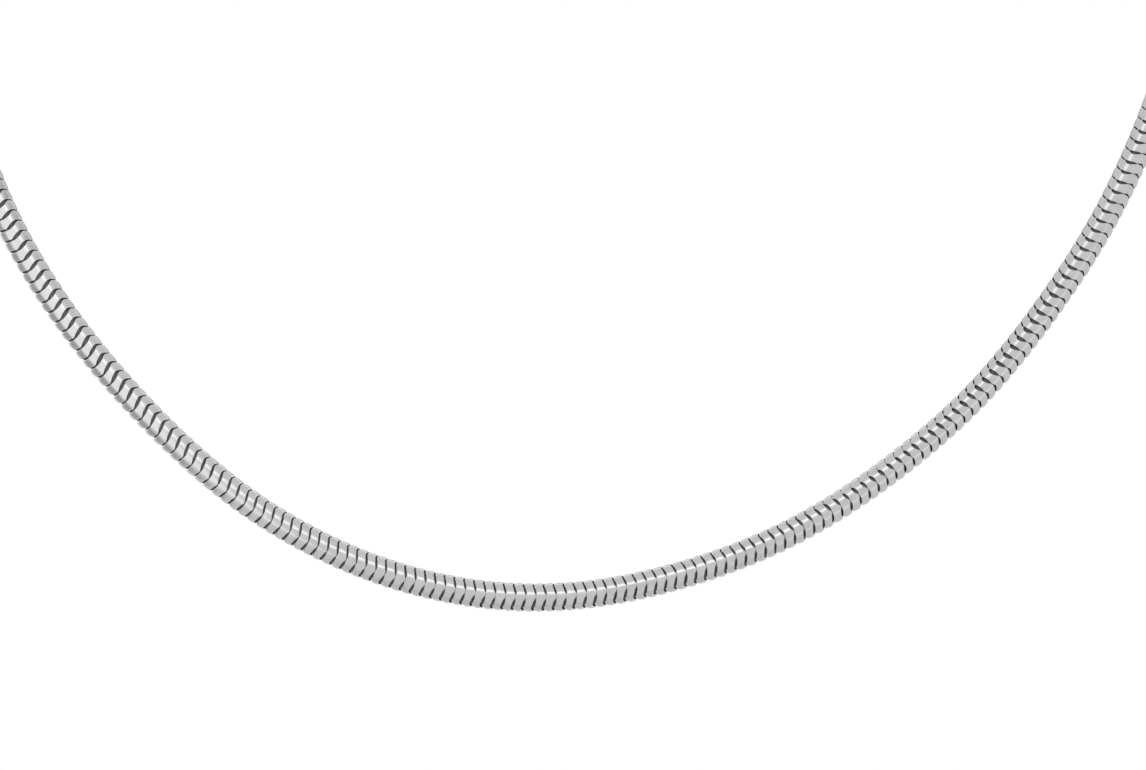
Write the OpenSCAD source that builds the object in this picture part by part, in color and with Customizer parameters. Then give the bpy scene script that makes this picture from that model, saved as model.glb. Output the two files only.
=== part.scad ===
// Snake chain necklace, hanging as worn and seen from the front.
// The origin is the middle of the clasp, where the back of the neck carries the loop.
// The loop lies in the XZ plane: +X is to the right, +Z is up, and -Y faces whoever looks at it.

/* [Loop] */
// Width of the whole loop, along the middle of the chain
loop_w = 142; // [120:1:170]
// Drop of the loop, from the middle of the clasp to the lowest point of the chain
loop_drop = 151; // [130:1:210]

/* [Chain] */
// Diameter of the chain
chain_d = 3; // [2.4:0.1:3.6]

/* [End caps] */
// Wall of a cap, round the chain
cap_wall = 0.5; // [0.3:0.05:0.8]
// Length of chain that a cap holds
cap_seat = 5.5; // [4:0.5:7]
// Thickness of a cap's closed end
cap_floor = 1.5; // [1.2:0.1:2]
// Height of the slope round a cap's closed end
cap_slope = 0.8; // [0.4:0.1:1]
// Bevel round a cap's mouth
cap_bevel = 0.2; // [0.1:0.05:0.25]
// Tilt of each cap, so that the fastening follows the back of the neck
cap_tilt = 9; // [4:1:14]

/* [Eyes] */
// Wire of the eye that is soldered to each cap
eye_wire = 1; // [0.8:0.1:1.3]
// Depth to which an eye's wire is let into its cap
eye_sink = 0.3; // [0.2:0.05:0.45]

/* [Clasp] */
// Wire of the S-hook
hook_wire = 1.4; // [1.1:0.1:1.7]
// Diameter of each of its two bends, at the middle of the wire
hook_bend = 6; // [5.5:0.5:8]
// How far the ball on each end stands out round the wire
ball_lip = 0.25; // [0.15:0.05:0.4]

/* [Clearances] */
// Gap between the chain and the inside of a cap
seat_gap = 0.12; // [0.08:0.01:0.2]
// Gap between a hook and the side of the eye that hangs on it
link_gap = 0.2; // [0.12:0.02:0.3]
// Room round a ball as an eye passes over it
ball_room = 0.25; // [0.15:0.05:0.4]

/* [Hidden] */

// The chain's route from the left cap, round the front and up to the right cap.
// Columns: across, down. Across is a percentage of half the loop's width, and down of its drop.
ROUTE = [
    [-47, 4.7], [-69.1, 11.8], [-85.8, 21.8], [-96.6, 33.9], [-100.6, 47], [-96, 60.1], [-86.65, 72.9],
    [-70.6, 84], [-48.45, 93.5], [-23.4, 98.8], [3, 99.6], [32.35, 95.45], [58.05, 87.05], [76.2, 76.75],
    [88.1, 66.2], [95.5, 54.6], [98.5, 42.7], [93.5, 30.6], [80.7, 18.5], [62.4, 9.2], [40.9, 3.5],
];

LEFT = -1;
RIGHT = 1;
TUBE_SIDES = 8;
RINGS_PER_SPAN = 3;
ROUND = 64;

// The clasp: a ball on each end, and an opening that lets an eye's wire in beside it
ball_d = hook_wire + 2 * ball_lip;
bend_r = hook_bend / 2;
mouth_reach = bend_r + (ball_d + hook_wire) / 2 + eye_wire + link_gap;
mouth_angle = acos((pow(mouth_reach / bend_r, 2) - 5) / 4);
bend_angle = 180 + mouth_angle;

// The eyes: each hangs on the inside of its hook and passes over the ball
eye_hole = ball_d + 2 * ball_room;
eye_r = (eye_hole + eye_wire) / 2;
eye_x = hook_bend - hook_wire / 2 - link_gap + eye_hole / 2;

// The caps, measured along each one from the centre of its eye
bore_d = chain_d + 2 * seat_gap;
cap_d = bore_d + 2 * cap_wall;
cap_end = eye_r + eye_wire / 2 - eye_sink;
cap_len = cap_floor + cap_seat;
cap_mouth = cap_end + cap_len;
chain_end = cap_end + cap_floor + seat_gap;

// A place in the XZ plane on the line of the cap on one side, at a distance from its eye
function cap_line(side, along) = [side * (eye_x + along * cos(cap_tilt)), -along * sin(cap_tilt)];

// The way that a cap points, out of its mouth
function cap_heading(side) = [side * cos(cap_tilt), -sin(cap_tilt)];

knots = concat(
    [cap_line(LEFT, cap_mouth)],
    [for (p = ROUTE) [p.x / 100 * loop_w / 2, -p.y / 100 * loop_drop]],
    [cap_line(RIGHT, cap_mouth)]
);
last = len(knots) - 1;

// The route's slope at each knot: along the caps at both ends, and across the two neighbours between
function slope(i) =
    i == 0 ? cap_heading(LEFT) * norm(knots[1] - knots[0]) :
    i == last ? -cap_heading(RIGHT) * norm(knots[last] - knots[last - 1]) :
    (knots[i + 1] - knots[i - 1]) / 2;

// A smooth curve through the knots: its place and its heading at t, from 0 to 1, past knot i
function span_place(i, t) =
    knots[i] * (2 * pow(t, 3) - 3 * pow(t, 2) + 1) + knots[i + 1] * (3 * pow(t, 2) - 2 * pow(t, 3))
    + slope(i) * (pow(t, 3) - 2 * pow(t, 2) + t) + slope(i + 1) * (pow(t, 3) - pow(t, 2));
function span_heading(i, t) =
    (knots[i + 1] - knots[i]) * 6 * (t - pow(t, 2))
    + slope(i) * (3 * pow(t, 2) - 4 * t + 1) + slope(i + 1) * (3 * pow(t, 2) - 2 * t);

// Rings of the chain, each a place and a heading, with its two ends inside the caps
chain_rings = concat(
    [[cap_line(LEFT, chain_end), cap_heading(LEFT)]],
    [for (i = [0 : last - 1], k = [0 : RINGS_PER_SPAN - 1])
        [span_place(i, k / RINGS_PER_SPAN), span_heading(i, k / RINGS_PER_SPAN)]],
    [[cap_line(RIGHT, cap_mouth), -cap_heading(RIGHT)]],
    [[cap_line(RIGHT, chain_end), -cap_heading(RIGHT)]]
);

// One corner of a ring, at an angle round its heading
function ring_corner(ring, d, angle) =
    let (h = ring[1] / norm(ring[1]), across = d / 2 * cos(angle))
    [ring[0].x - h.y * across, d / 2 * sin(angle), ring[0].y + h.x * across];

// A closed tube swept through a list of rings
module swept_tube(rings, d, sides) {
    ends = len(rings) - 1;
    corners = [for (r = rings, k = [0 : sides - 1]) ring_corner(r, d, 360 * k / sides)];
    walls = [for (i = [0 : ends - 1], k = [0 : sides - 1])
        let (a = i * sides + k, b = i * sides + (k + 1) % sides)
        each [[a, b, b + sides], [a, b + sides, a + sides]]];
    first_face = [for (k = [sides - 1 : -1 : 0]) k];
    last_face = [for (k = [0 : sides - 1]) ends * sides + k];
    polyhedron(points = corners, faces = concat([first_face], walls, [last_face]));
}

module chain() {
    color("silver") swept_tube(chain_rings, chain_d, TUBE_SIDES);
}

// The cap's cup, on the Z axis with its closed end at the bottom
module cup() {
    rotate_extrude($fn = ROUND)
        polygon([
            [0, 0],
            [cap_d / 2 - cap_slope, 0],
            [cap_d / 2, cap_slope],
            [cap_d / 2, cap_len - cap_bevel],
            [cap_d / 2 - cap_bevel, cap_len],
            [bore_d / 2, cap_len],
            [bore_d / 2, cap_floor],
            [0, cap_floor],
        ]);
}

// The eye: a closed ring of wire that stands in the XZ plane
module eye() {
    rotate([90, 0, 0])
        rotate_extrude($fn = ROUND)
            translate([eye_r, 0])
                circle(d = eye_wire, $fn = ROUND / 2);
}

// An end cap with its soldered eye, on the given side
module end_cap(side) {
    translate([side * eye_x, 0, 0])
        rotate([0, side * (90 + cap_tilt), 0]) {
            translate([0, 0, cap_end]) cup();
            eye();
        }
}

module end_cap_left() {
    color("gainsboro") end_cap(LEFT);
}

module end_cap_right() {
    color("gainsboro") end_cap(RIGHT);
}

// Half of the S-hook: one bend from the middle of the clasp round to its ball
module hook() {
    translate([bend_r, 0, 0]) {
        rotate([0, 0, 180])
            rotate_extrude(angle = bend_angle, $fn = ROUND)
                translate([bend_r, 0])
                    circle(d = hook_wire, $fn = ROUND / 2);
        rotate([0, 0, mouth_angle])
            translate([bend_r, 0, 0])
                sphere(d = ball_d, $fn = ROUND / 2);
    }
}

module clasp() {
    color("lightgrey")
        for (turn = [0, 180])
            rotate([0, 0, turn]) hook();
}

chain();
end_cap_left();
end_cap_right();
clasp();
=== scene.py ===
"""A snake chain necklace, hanging as worn and seen from the front."""
from math import cos, pi, radians, sin

import bpy
import numpy as np
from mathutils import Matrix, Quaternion, Vector


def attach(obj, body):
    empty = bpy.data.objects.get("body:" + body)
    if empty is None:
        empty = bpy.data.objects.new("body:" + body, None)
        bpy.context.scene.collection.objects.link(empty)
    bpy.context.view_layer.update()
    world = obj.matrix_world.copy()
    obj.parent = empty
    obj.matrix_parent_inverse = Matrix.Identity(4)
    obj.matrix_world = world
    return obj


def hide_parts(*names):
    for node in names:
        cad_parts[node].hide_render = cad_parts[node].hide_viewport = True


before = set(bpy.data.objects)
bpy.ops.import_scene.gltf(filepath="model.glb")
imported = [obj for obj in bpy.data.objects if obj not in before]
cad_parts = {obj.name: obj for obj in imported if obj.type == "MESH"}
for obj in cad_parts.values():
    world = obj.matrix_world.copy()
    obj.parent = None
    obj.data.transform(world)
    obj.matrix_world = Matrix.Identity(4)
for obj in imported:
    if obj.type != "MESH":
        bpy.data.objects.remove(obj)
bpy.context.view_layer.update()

MM = 0.001

# The camera looks along +Y, level, at the middle of the part of the loop that the photograph shows
VIEW_WIDTH = 125.26 * MM
VIEW_CENTRE = Vector((0, 0, -127.55 * MM))
LENS = 120
SENSOR = 36
CLIP_NEAR = 0.01
CLIP_FAR = 50

# The chain's route, the same points as in part.scad: across, as a percentage of half the loop's width,
# and down, as a percentage of its drop. A script fitted the points in view to the photograph.
LOOP_W = 142 * MM
LOOP_DROP = 151 * MM
ROUTE = [
    (-47, 4.7), (-69.1, 11.8), (-85.8, 21.8), (-96.6, 33.9), (-100.6, 47), (-96, 60.1), (-86.65, 72.9),
    (-70.6, 84), (-48.45, 93.5), (-23.4, 98.8), (3, 99.6), (32.35, 95.45), (58.05, 87.05), (76.2, 76.75),
    (88.1, 66.2), (95.5, 54.6), (98.5, 42.7), (93.5, 30.6), (80.7, 18.5), (62.4, 9.2), (40.9, 3.5),
]
STEPS_PER_SPAN = 400

# The end caps that the chain's ends are seated in: distances along each cap from its eye's centre
LEFT = -1
RIGHT = 1
EYE_X = 6.3 * MM
CAP_TILT = radians(9)
CAP_MOUTH = 8.9 * MM
CHAIN_END = 3.52 * MM

# The links, along the chain. Each table's stations are distances in mm from the left cap's mouth.
# The length of chain that a link takes, in mm: they sit closest at the bottom of the loop
PITCH_AT = [(150, 1.26), (165, 1.25), (171, 1.21), (180, 1.16), (203, 1.11), (218, 1.105), (237, 1.15),
            (257, 1.185), (270, 1.19), (283, 1.205), (296, 1.195)]
# The turn of each link's first point round the chain, in degrees from the front
TURN_AT = [(141, 15), (151, 21), (166, 24), (178, 6), (190, 1), (200, -8), (215, -10), (228, -14),
           (243, -1), (260, 22), (275, 34), (299, 39)]
# How far each link's outer side leans forward, in mm
LEAN_AT = [(142, 0.12), (168, 0.15), (178, 0.09), (197, 0.07), (220, -0.14), (230, -0.19), (247, -0.06),
           (270, -0.09), (282, -0.05), (299, 0)]
# The radius, in mm: a little less on the arms, where the chain's weight stretches it
LINK_R_AT = [(141, 1.458), (165, 1.462), (174, 1.482), (184, 1.5), (195, 1.512), (213, 1.512),
             (223, 1.487), (233, 1.478), (243, 1.465), (262, 1.45), (292, 1.455)]
# How far each link's rims are let in along the outside and the inside of the loop, in mm
SCALLOP_AT = [(150, 0.1), (165, 0.11), (180, 0.06), (215, 0.06), (224, 0.14), (262, 0.16), (280, 0.12),
              (292, 0.08)]
INNER_SCALLOP_AT = [(232, 0.045), (243, 0.09), (254, 0.08), (263, 0.03)]

# The windows between links. Their widths in mm, inside the loop, at the front and outside the loop
INNER_AT = [(149, 0.16), (171, 0.18), (187, 0.23), (198, 0.23), (225, 0.21), (236, 0.24), (247, 0.21),
            (258, 0.22), (272, 0.25), (280, 0.22), (289, 0.19)]
FRONT_AT = [(149, 0.46), (158, 0.48), (171, 0.33), (187, 0.24), (213, 0.26), (236, 0.3), (258, 0.41),
            (272, 0.46), (280, 0.42), (289, 0.34)]
OUTER_AT = [(149, 0.24), (171, 0.21), (187, 0.26), (213, 0.29), (230, 0.27), (242, 0.22), (258, 0.21),
            (267, 0.21), (280, 0.2), (288, 0.15)]
# The angles that the widths hold at, from the front towards the outside of the loop: the innermost one,
# which is a share of the inner width, then inner, front and outer
WINDOW_ANGLES = np.radians([-80, -50, -22, 45])
INNERMOST = 0.8
# The turn of the places where each link's points touch the next link, in degrees from the front
TOUCH_AT = [(145, 18), (150, 21), (160, 24), (171, 22), (176, 9), (182, 4), (188, 6), (195, 6), (201, -5),
            (208, -6), (214, -6), (221, -10), (228, -12), (234, -6), (237, -2), (242, 2), (248, 5),
            (254, 8), (260, 12), (267, 13), (275, 15), (284, 15), (291, 17)]
# How far links touch to each side of a point and of a hollow, in degrees round the chain. Less than none
# leaves them a little open there.
POINT_HOLD_AT = [(149, -8), (171, -4), (187, -3), (195, 2), (201, 4), (208, 6), (213, 7), (236, 4),
                 (258, 3), (280, 2)]
HOLLOW_HOLD_AT = [(242, -6), (248, 11), (254, 13), (260, 9), (267, 4), (280, 0), (290, 2)]
# How many degrees further round a window is fully open, from a point and from a hollow
POINT_EDGE_AT = [(149, 28), (180, 23), (213, 15), (280, 17)]
HOLLOW_EDGE = 6
# The gap where links touch, at the snuggest pitch, and how much of any further pitch goes into it
SNUG_PITCH = 1.1 * MM
TOUCH_GAP = 0.02 * MM
TOUCH_SPREAD = 0.2

# The wave that each link's rims follow round the chain: its points, its height, and how much sharper a
# wave of a higher order makes them
WAVES = 3
WAVE = 0.172 * MM
WAVE_CREASE = 0.08
CREASE_ORDER = 3
WAVE_DEGREES = 360 / WAVES

# The places round a link, as angles from the front towards the outside of the loop
SIDES = 60
ANGLES = np.arange(SIDES) * 2 * pi / SIDES
SINES = np.sin(ANGLES)
# How fully each place lies on the chain's edge, seen from the front
EDGE_POWER = 4
EDGES = SINES ** EDGE_POWER

# The closed outline of a link's wall. Columns: half pitches forward of the link's middle, shares of the
# gap forward, mm forward, mm outward of the link's face. A collar reaches forward under the next link.
PROFILE = np.array([
    (-1, 0.5, 0, -0.27), (-1, 0.5, 0, -0.045), (-1, 0.5, 0.05, 0), (0, 0, 0, 0.012), (1, -0.5, -0.05, 0),
    (1, -0.5, 0, -0.045), (1, -0.5, 0, -0.31), (1, 0.5, 0.38, -0.32), (1, 0.5, 0.38, -0.44),
    (-1, 0.5, 0.5, -0.44), (-1, 0.5, 0.45, -0.27)])
# The outline's edges that lie in the recess, counted from the point that each starts at. They take a dark
# metal that is painted shade for the slits between links.
RECESSED = {0, 5, 6, 7, 8, 9, 10}
# The outline's points at both rims, the shoulders beside them with the way each moves, and the belly between
RIMS = {1, 5}
RIM_SHOULDERS = {2: 1, 4: -1}
BELLY = 3
# Along the chain's edges the shoulders draw together by this much, and by a share of it inside the loop,
# and the belly stands out by a share of the scallop
SCALLOP_LENGTH = 0.15 * MM
INNER_LENGTH = 0.4
BELLY_SHARE = 0.25

# How many places along the chain the links are counted off at
COUNT_STEPS = 20000
# The spread of the links' own chance turns, in degrees, and the seed that they are drawn from
TURN_JITTER = 1.2
SEED = 7
# Edges of a link that turn by more than this are sharp
SHARP_ANGLE = radians(30)
PIECES = ["chain_links_left", "chain_links_front", "chain_links_right"]

# The metals. Columns: darkest and lightest tone, least and most roughness, and how fine the clouds and
# the rubbing marks are, in cells a metre
POLISHED = (0.80, 0.88, 0.16, 0.3, 900, 9000)
# The recess metal is painted shade. It is far darker than the silver and stands in for the shade inside the
# windows between links.
RECESS_PAINTED_SHADE = (0.13, 0.2, 0.45, 0.6, 1500, 9000)
CAP_FINISH = (0.80, 0.88, 0.14, 0.26, 400, 6000)
HOOK_FINISH = (0.80, 0.88, 0.14, 0.26, 400, 6000)
CLOUD_DETAIL = 4
CLOUD_FROM = 0.3
CLOUD_TO = 0.7
MARK_DETAIL = 3
MARK_STRENGTH = 0.15
MARK_DEPTH = 0.00001

# The studio, in metres: the white ground that the camera sees, and the softer light from all round
GROUND_TONE = 1.0
AMBIENT_TONE = 0.625
PAPER_ROUGHNESS = 0.9
FLOOR_Z = -1.75
FLOOR_HALF = 0.95
FLOOR_TONE = 0.9
FLOOR_LIGHT_Z = -1.05
FLOOR_LIGHT_SIZE = 1.4
FLOOR_LIGHT_GLOW = 0.5
LOW_PANEL_Z = -0.95
LOW_PANEL_HALF = 0.475
LOW_PANEL_TONE = 0.85

# Panels beside the loop, for the darker edges of the left arm. Columns: name, x, y from and to, z from
# and to, tone
SIDE_FLAGS = [
    ("side_flag", -0.25, -0.14, 0.12, -0.37, -0.15, 0.55),
    ("right_flag", 0.22, -0.14, 0.12, -0.07, 0.07, 0.65),
]
# A panel far behind, so that the back isn't flat white
BACK_FLAG_HALF = 0.13
BACK_FLAG_Y = 0.45
BACK_FLAG_LOW = -0.2
BACK_FLAG_HIGH = 0.05
BACK_FLAG_TONE = 0.3

# The glowing cards, in front of the loop and behind it. Columns: name, place, target, width, height,
# glow, roll in degrees
FOCUS = (0, 0, -0.12)
CARDS = [
    ("arch_top", (0, -0.3, 0.107), FOCUS, 0.18, 0.12, 0.6, 0),
    ("arch_left", (-0.152, -0.3, 0.042), FOCUS, 0.2, 0.13, 0.49, 45),
    ("arch_right", (0.155, -0.3, 0.022), FOCUS, 0.2, 0.13, 0.34, -45),
    ("left_card", (-0.1195, -0.06, -0.116), (-0.1195, 0, -0.116), 0.161, 0.112, 0.285, 0),
    ("left_card_inner", (-0.0285, -0.06, -0.0935), (-0.0285, 0, -0.0935), 0.021, 0.047, 0.285, 0),
    ("arch_low_right", (0.194, -0.22, -0.254), (0.05, 0, -0.11), 0.2, 0.06, 0.25, 45),
    ("back_top", (0, 0.3, 0.1), FOCUS, 0.3, 0.1, 0.42, 0),
    ("back_left", (-0.3, 0.22, -0.1), FOCUS, 0.1, 0.22, 0.4, 0),
    ("back_right", (0.3, 0.22, -0.06), FOCUS, 0.08, 0.22, 0.4, 0),
    ("back_low", (0.02, 0.25, -0.32), FOCUS, 0.24, 0.05, 0.3, 0),
]


def make_camera():
    data = bpy.data.cameras.new("camera")
    data.lens = LENS
    data.sensor_width = SENSOR
    data.clip_start = CLIP_NEAR
    data.clip_end = CLIP_FAR
    camera = bpy.data.objects.new("camera", data)
    bpy.context.scene.collection.objects.link(camera)
    camera.location = VIEW_CENTRE + Vector((0, -VIEW_WIDTH * LENS / SENSOR, 0))
    camera.rotation_euler = (pi / 2, 0, 0)
    bpy.context.scene.camera = camera


# The chain's route

def cap_place(side, along):
    """A place on the line of the cap on one side, at a distance from its eye."""
    return np.array([side * (EYE_X + along * cos(CAP_TILT)), -along * sin(CAP_TILT)])


def route_knots():
    """The route's points in the XZ plane, from the mouth of the left cap to that of the right."""
    chosen = [np.array([x / 100 * LOOP_W / 2, -z / 100 * LOOP_DROP]) for x, z in ROUTE]
    return [cap_place(LEFT, CAP_MOUTH), *chosen, cap_place(RIGHT, CAP_MOUTH)]


def route_slopes(knots):
    """The route's slope at each knot: along the caps at both ends, and across the neighbours between."""
    out_of_left = np.array([-cos(CAP_TILT), -sin(CAP_TILT)])
    into_right = np.array([-cos(CAP_TILT), sin(CAP_TILT)])
    between = [(after - before) / 2 for before, after in zip(knots, knots[2:])]
    first = out_of_left * np.linalg.norm(knots[1] - knots[0])
    last = into_right * np.linalg.norm(knots[-1] - knots[-2])
    return [first, *between, last]


def route_curve():
    """The chain's line, with its seated ends: the arc, the place and the heading at close steps."""
    knots = route_knots()
    slopes = route_slopes(knots)
    t = (np.arange(STEPS_PER_SPAN) / STEPS_PER_SPAN)[:, None]
    spans = []
    for i in range(len(knots) - 1):
        spans.append(knots[i] * (2 * t**3 - 3 * t**2 + 1) + knots[i + 1] * (3 * t**2 - 2 * t**3)
                     + slopes[i] * (t**3 - 2 * t**2 + t) + slopes[i + 1] * (t**3 - t**2))
    left_end = cap_place(LEFT, CHAIN_END)[None]
    right_end = cap_place(RIGHT, CHAIN_END)[None]
    places = np.vstack([left_end, *spans, knots[-1][None], right_end])
    lengths = np.linalg.norm(np.diff(places, axis=0), axis=1)
    arc = np.concatenate([[0], np.cumsum(lengths)]) - (CAP_MOUTH - CHAIN_END)
    return arc, places, np.gradient(places, arc, axis=0)


def chain_at(route, at):
    """The middle of the chain at an arc, and its heading there."""
    arc, places, tangents = route
    x, z = (np.interp(at, arc, places[:, k]) for k in (0, 1))
    heading = np.array([np.interp(at, arc, tangents[:, 0]), 0, np.interp(at, arc, tangents[:, 1])])
    return np.array([x, 0, z]), heading / np.linalg.norm(heading)


# The links

def table_at(table, stations):
    """A table of stations in mm and values, read at other stations in metres."""
    at, values = zip(*table)
    return np.interp(stations, np.array(at) * MM, values)


def link_arcs(arc):
    """The arc of each link's middle, from one seated end of the chain to the other."""
    fine = np.linspace(arc[0], arc[-1], COUNT_STEPS)
    count = np.concatenate([[0], np.cumsum(np.diff(fine) / (table_at(PITCH_AT, fine[:-1]) * MM))])
    return np.interp(np.arange(int(count[-1])) + 0.5, count, fine)


def share_out(arcs):
    """The links' arcs, shared out to the pieces from left to right. The last takes what is left over."""
    share = len(arcs) // len(PIECES)
    return np.split(arcs, [share * number for number in range(1, len(PIECES))])


def window_opening(at):
    """How far the gap behind a link is open round the chain, from 0 where it touches to 1."""
    past_point = np.degrees(ANGLES) - table_at(TOUCH_AT, at)
    from_point = np.abs((past_point + WAVE_DEGREES / 2) % WAVE_DEGREES - WAVE_DEGREES / 2)
    from_hollow = WAVE_DEGREES / 2 - from_point
    by_point = (from_point - table_at(POINT_HOLD_AT, at)) / table_at(POINT_EDGE_AT, at)
    by_hollow = (from_hollow - table_at(HOLLOW_HOLD_AT, at)) / HOLLOW_EDGE
    return np.clip(np.minimum(by_point, by_hollow), 0, 1)


def link_gaps(at):
    """The gap between a link and the next one, round the chain."""
    inner, front, outer = (table_at(table, at) * MM for table in (INNER_AT, FRONT_AT, OUTER_AT))
    widths = [inner * INNERMOST, inner, front, outer]
    window = np.interp((ANGLES + pi) % (2 * pi) - pi, WINDOW_ANGLES, widths)
    touch = TOUCH_GAP + TOUCH_SPREAD * (table_at(PITCH_AT, at) * MM - SNUG_PITCH)
    return touch + (window - touch) * window_opening(at)


def link_wave(at, turn):
    """How far forward the middle of a link lies, round the chain."""
    phase = WAVES * (ANGLES - turn)
    wave = WAVE * (np.cos(phase) + WAVE_CREASE * np.cos(CREASE_ORDER * phase))
    return wave + table_at(LEAN_AT, at) * MM * SINES


def scallop_link(at, along, radius):
    """Lets a link's rims in and its belly out along both edges of the chain."""
    outside = SINES > 0
    depth = np.where(outside, table_at(SCALLOP_AT, at) * MM, table_at(INNER_SCALLOP_AT, at) * MM)
    let_in = EDGES * depth
    for column in RIMS:
        radius[:, column] -= let_in
    radius[:, BELLY] += BELLY_SHARE * let_in
    let_back = EDGES * np.where(outside, 1, INNER_LENGTH)
    for column, way in RIM_SHOULDERS.items():
        along[:, column] += way * SCALLOP_LENGTH * let_back


def link_points(route, at, turn):
    """One link's points, round the chain by the points of its wall's outline."""
    halves, shares, ahead, height = PROFILE.T
    pitch = table_at(PITCH_AT, at) * MM
    along = link_wave(at, turn)[:, None] + halves * pitch / 2 + shares * link_gaps(at)[:, None] + ahead * MM
    radius = np.tile(table_at(LINK_R_AT, at) * MM + height * MM, (SIDES, 1))
    scallop_link(at, along, radius)
    centre, heading = chain_at(route, at)
    outward = np.array([heading[2], 0, -heading[0]])
    rays = np.outer(np.cos(ANGLES), (0, -1, 0)) + np.outer(SINES, outward)
    return centre + along[..., None] * heading + radius[..., None] * rays[:, None, :]


def link_faces(links):
    """The faces of a number of links, round each one's sides and its wall's outline."""
    edges = len(PROFILE)
    side, edge = np.meshgrid(np.arange(SIDES), np.arange(edges), indexing="ij")
    next_side = (side + 1) % SIDES
    next_edge = (edge + 1) % edges
    corners = [(side, edge), (next_side, edge), (next_side, next_edge), (side, next_edge)]
    quads = np.stack([s * edges + e for s, e in corners], axis=-1).reshape(-1, 4)
    return np.concatenate([quads + number * SIDES * edges for number in range(links)])


def make_links(name, arcs, route, rng, materials):
    """One mesh of many links, each a wavy band nested in the next."""
    points = []
    for at in arcs:
        turn = radians(table_at(TURN_AT, at) + rng.normal(0, TURN_JITTER))
        points.append(link_points(route, at, turn))
    faces = link_faces(len(arcs))
    mesh = bpy.data.meshes.new(name)
    mesh.from_pydata(np.concatenate(points).reshape(-1, 3).tolist(), [], faces.tolist())
    for material in materials:
        mesh.materials.append(material)
    # Recessed faces take the second metal, the painted shade.
    slots = [int(edge in RECESSED) for edge in range(len(PROFILE))] * (SIDES * len(arcs))
    mesh.polygons.foreach_set("material_index", slots)
    mesh.polygons.foreach_set("use_smooth", [True] * len(faces))
    mesh.set_sharp_from_angle(angle=SHARP_ANGLE)
    piece = bpy.data.objects.new(name, mesh)
    bpy.context.scene.collection.objects.link(piece)
    return piece


# The metals

def new_material(name):
    material = bpy.data.materials.new(name)
    material.use_nodes = True
    nodes = material.node_tree.nodes
    return material, nodes, material.node_tree.links, nodes["Principled BSDF"]


def grey(tone):
    return (tone, tone, tone, 1)


def add_noise(nodes, links, place, scale, detail):
    noise = nodes.new("ShaderNodeTexNoise")
    noise.inputs["Scale"].default_value = scale
    noise.inputs["Detail"].default_value = detail
    links.new(place.outputs["Object"], noise.inputs["Vector"])
    return noise


def add_clouded_tone(nodes, links, shader, cloud, dark, light):
    """A tone that goes from dark to light with the clouds."""
    tone = nodes.new("ShaderNodeValToRGB")
    start, end = tone.color_ramp.elements
    start.position = CLOUD_FROM
    start.color = grey(dark)
    end.position = CLOUD_TO
    end.color = grey(light)
    links.new(cloud.outputs["Fac"], tone.inputs["Fac"])
    links.new(tone.outputs["Color"], shader.inputs["Base Color"])


def add_uneven_polish(nodes, links, shader, cloud, rough_low, rough_high):
    """A roughness that rises with the clouds."""
    polish = nodes.new("ShaderNodeMapRange")
    polish.inputs["To Min"].default_value = rough_low
    polish.inputs["To Max"].default_value = rough_high
    links.new(cloud.outputs["Fac"], polish.inputs["Value"])
    links.new(polish.outputs["Result"], shader.inputs["Roughness"])


def add_rubbing_marks(nodes, links, shader, place, scratch):
    """Very shallow bumps all over."""
    marks = add_noise(nodes, links, place, scratch, MARK_DETAIL)
    bump = nodes.new("ShaderNodeBump")
    bump.inputs["Strength"].default_value = MARK_STRENGTH
    bump.inputs["Distance"].default_value = MARK_DEPTH
    links.new(marks.outputs["Fac"], bump.inputs["Height"])
    links.new(bump.outputs["Normal"], shader.inputs["Normal"])


def silver(name, dark, light, rough_low, rough_high, mottle, scratch):
    """Metal with a faint cloudiness in its tone, uneven polish and fine rubbing marks: silver-white, or dark
    where it is painted shade.
    """
    material, nodes, links, shader = new_material(name)
    shader.inputs["Metallic"].default_value = 1.0
    place = nodes.new("ShaderNodeTexCoord")
    cloud = add_noise(nodes, links, place, mottle, CLOUD_DETAIL)
    add_clouded_tone(nodes, links, shader, cloud, dark, light)
    add_uneven_polish(nodes, links, shader, cloud, rough_low, rough_high)
    add_rubbing_marks(nodes, links, shader, place, scratch)
    return material


def finish_node(name, material):
    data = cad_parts[name].data
    data.materials.clear()
    data.materials.append(material)


# The studio

def add_card(name, place, target, width, height, glow, roll):
    """A softly glowing card, of even brightness, that faces a target."""
    data = bpy.data.lights.new(name, "AREA")
    data.shape = "RECTANGLE"
    data.size, data.size_y = width, height
    data.energy = glow * pi * width * height
    light = bpy.data.objects.new(name, data)
    bpy.context.scene.collection.objects.link(light)
    light.location = place
    aim = (Vector(target) - Vector(place)).to_track_quat("-Z", "Y")
    light.rotation_euler = (aim @ Quaternion((0, 0, 1), radians(roll))).to_euler()
    light.visible_camera = False
    return light


def make_world():
    """A white ground behind the chain, and softer light from all round."""
    world = bpy.data.worlds.new("studio")
    world.use_nodes = True
    nodes, links = world.node_tree.nodes, world.node_tree.links
    ambient = nodes["Background"]
    ambient.inputs["Color"].default_value = grey(AMBIENT_TONE)
    ground = nodes.new("ShaderNodeBackground")
    ground.inputs["Color"].default_value = grey(GROUND_TONE)
    path = nodes.new("ShaderNodeLightPath")
    mix = nodes.new("ShaderNodeMixShader")
    links.new(path.outputs["Is Camera Ray"], mix.inputs["Fac"])
    links.new(ambient.outputs["Background"], mix.inputs[1])
    links.new(ground.outputs["Background"], mix.inputs[2])
    links.new(mix.outputs["Shader"], nodes["World Output"].inputs["Surface"])
    bpy.context.scene.world = world


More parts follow.
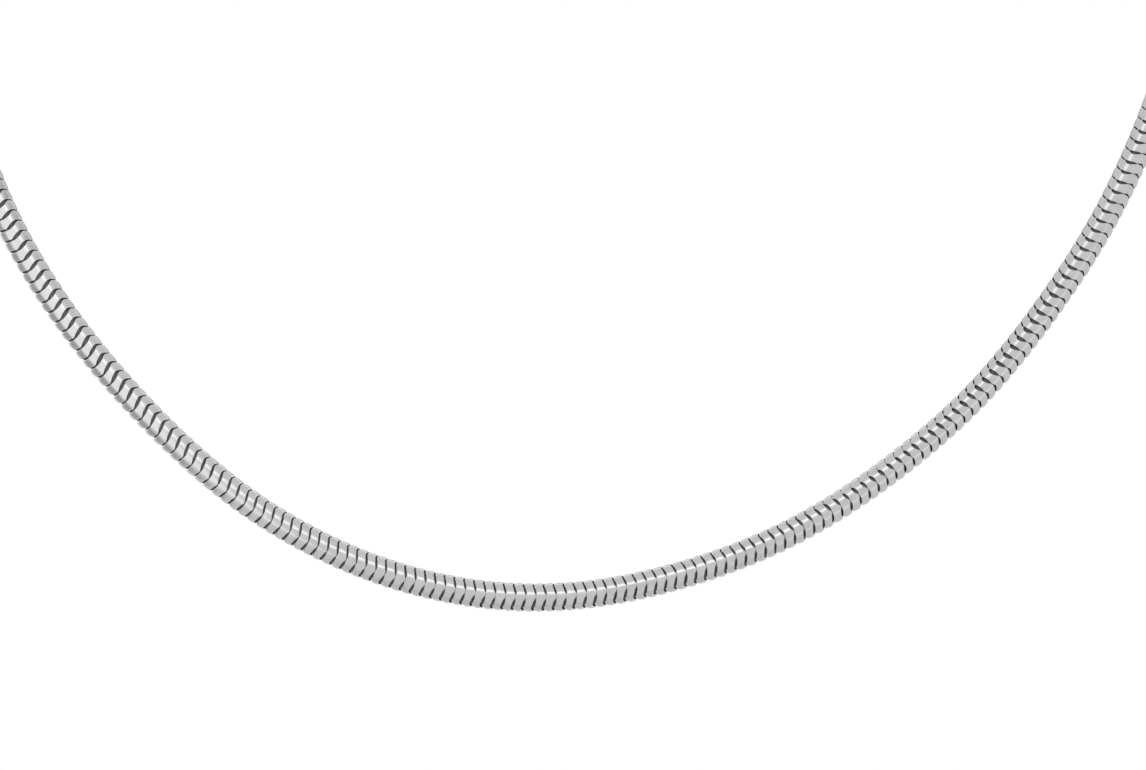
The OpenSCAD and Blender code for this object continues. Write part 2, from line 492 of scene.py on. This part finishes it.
def add_panel(name, corners, tone):
    """A flat matt panel of the studio, even in tone."""
    mesh = bpy.data.meshes.new(name)
    mesh.from_pydata(corners, [], [(0, 1, 2, 3)])
    panel = bpy.data.objects.new(name, mesh)
    material, _, _, shader = new_material(name + "_paper")
    shader.inputs["Base Color"].default_value = grey(tone)
    shader.inputs["Roughness"].default_value = PAPER_ROUGHNESS
    mesh.materials.append(material)
    bpy.context.scene.collection.objects.link(panel)
    return panel


def level_square(r, z):
    return [(-r, -r, z), (r, -r, z), (r, r, z), (-r, r, z)]


def make_floor():
    """A pale floor far below. The chain mirrors a panel above it instead, which is less bright."""
    floor = add_panel("floor", level_square(FLOOR_HALF, FLOOR_Z), FLOOR_TONE)
    floor.visible_glossy = False
    light = add_card("floor_light", (0, 0, FLOOR_LIGHT_Z), (0, 0, FLOOR_Z),
                     FLOOR_LIGHT_SIZE, FLOOR_LIGHT_SIZE, FLOOR_LIGHT_GLOW, 0)
    light.visible_glossy = False
    low_panel = add_panel("low_panel", level_square(LOW_PANEL_HALF, LOW_PANEL_Z), LOW_PANEL_TONE)
    low_panel.visible_camera = False


def make_flags():
    """Grey panels that the metal mirrors and the camera doesn't see."""
    for name, x, near, far, low, high, tone in SIDE_FLAGS:
        side = add_panel(name, [(x, near, low), (x, far, low), (x, far, high), (x, near, high)], tone)
        side.visible_camera = False
    x, y, low, high = BACK_FLAG_HALF, BACK_FLAG_Y, BACK_FLAG_LOW, BACK_FLAG_HIGH
    corners = [(-x, y, low), (x, y, low), (x, y, high), (-x, y, high)]
    add_panel("back_flag", corners, BACK_FLAG_TONE).visible_camera = False


# The scene

make_camera()
bpy.context.scene.view_settings.view_transform = "Standard"
make_world()
make_floor()
make_flags()
for card in CARDS:
    add_card(*card)

shine = silver("polished_silver", *POLISHED)
# The links' recessed walls and collars take painted shade, a dark grey metal, for the shade in the windows
# between them.
recess = silver("recess_painted_shade", *RECESS_PAINTED_SHADE)
cap_shine = silver("cap_silver", *CAP_FINISH)
hook_shine = silver("hook_silver", *HOOK_FINISH)

route = route_curve()
rng = np.random.default_rng(SEED)
for name, stretch in zip(PIECES, share_out(link_arcs(route[0]))):
    links_piece = make_links(name, stretch, route, rng, [shine, recess])
    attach(links_piece, "root")
    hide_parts("chain")

finish_node("end_cap_left", cap_shine)
finish_node("end_cap_right", cap_shine)
finish_node("clasp", hook_shine)
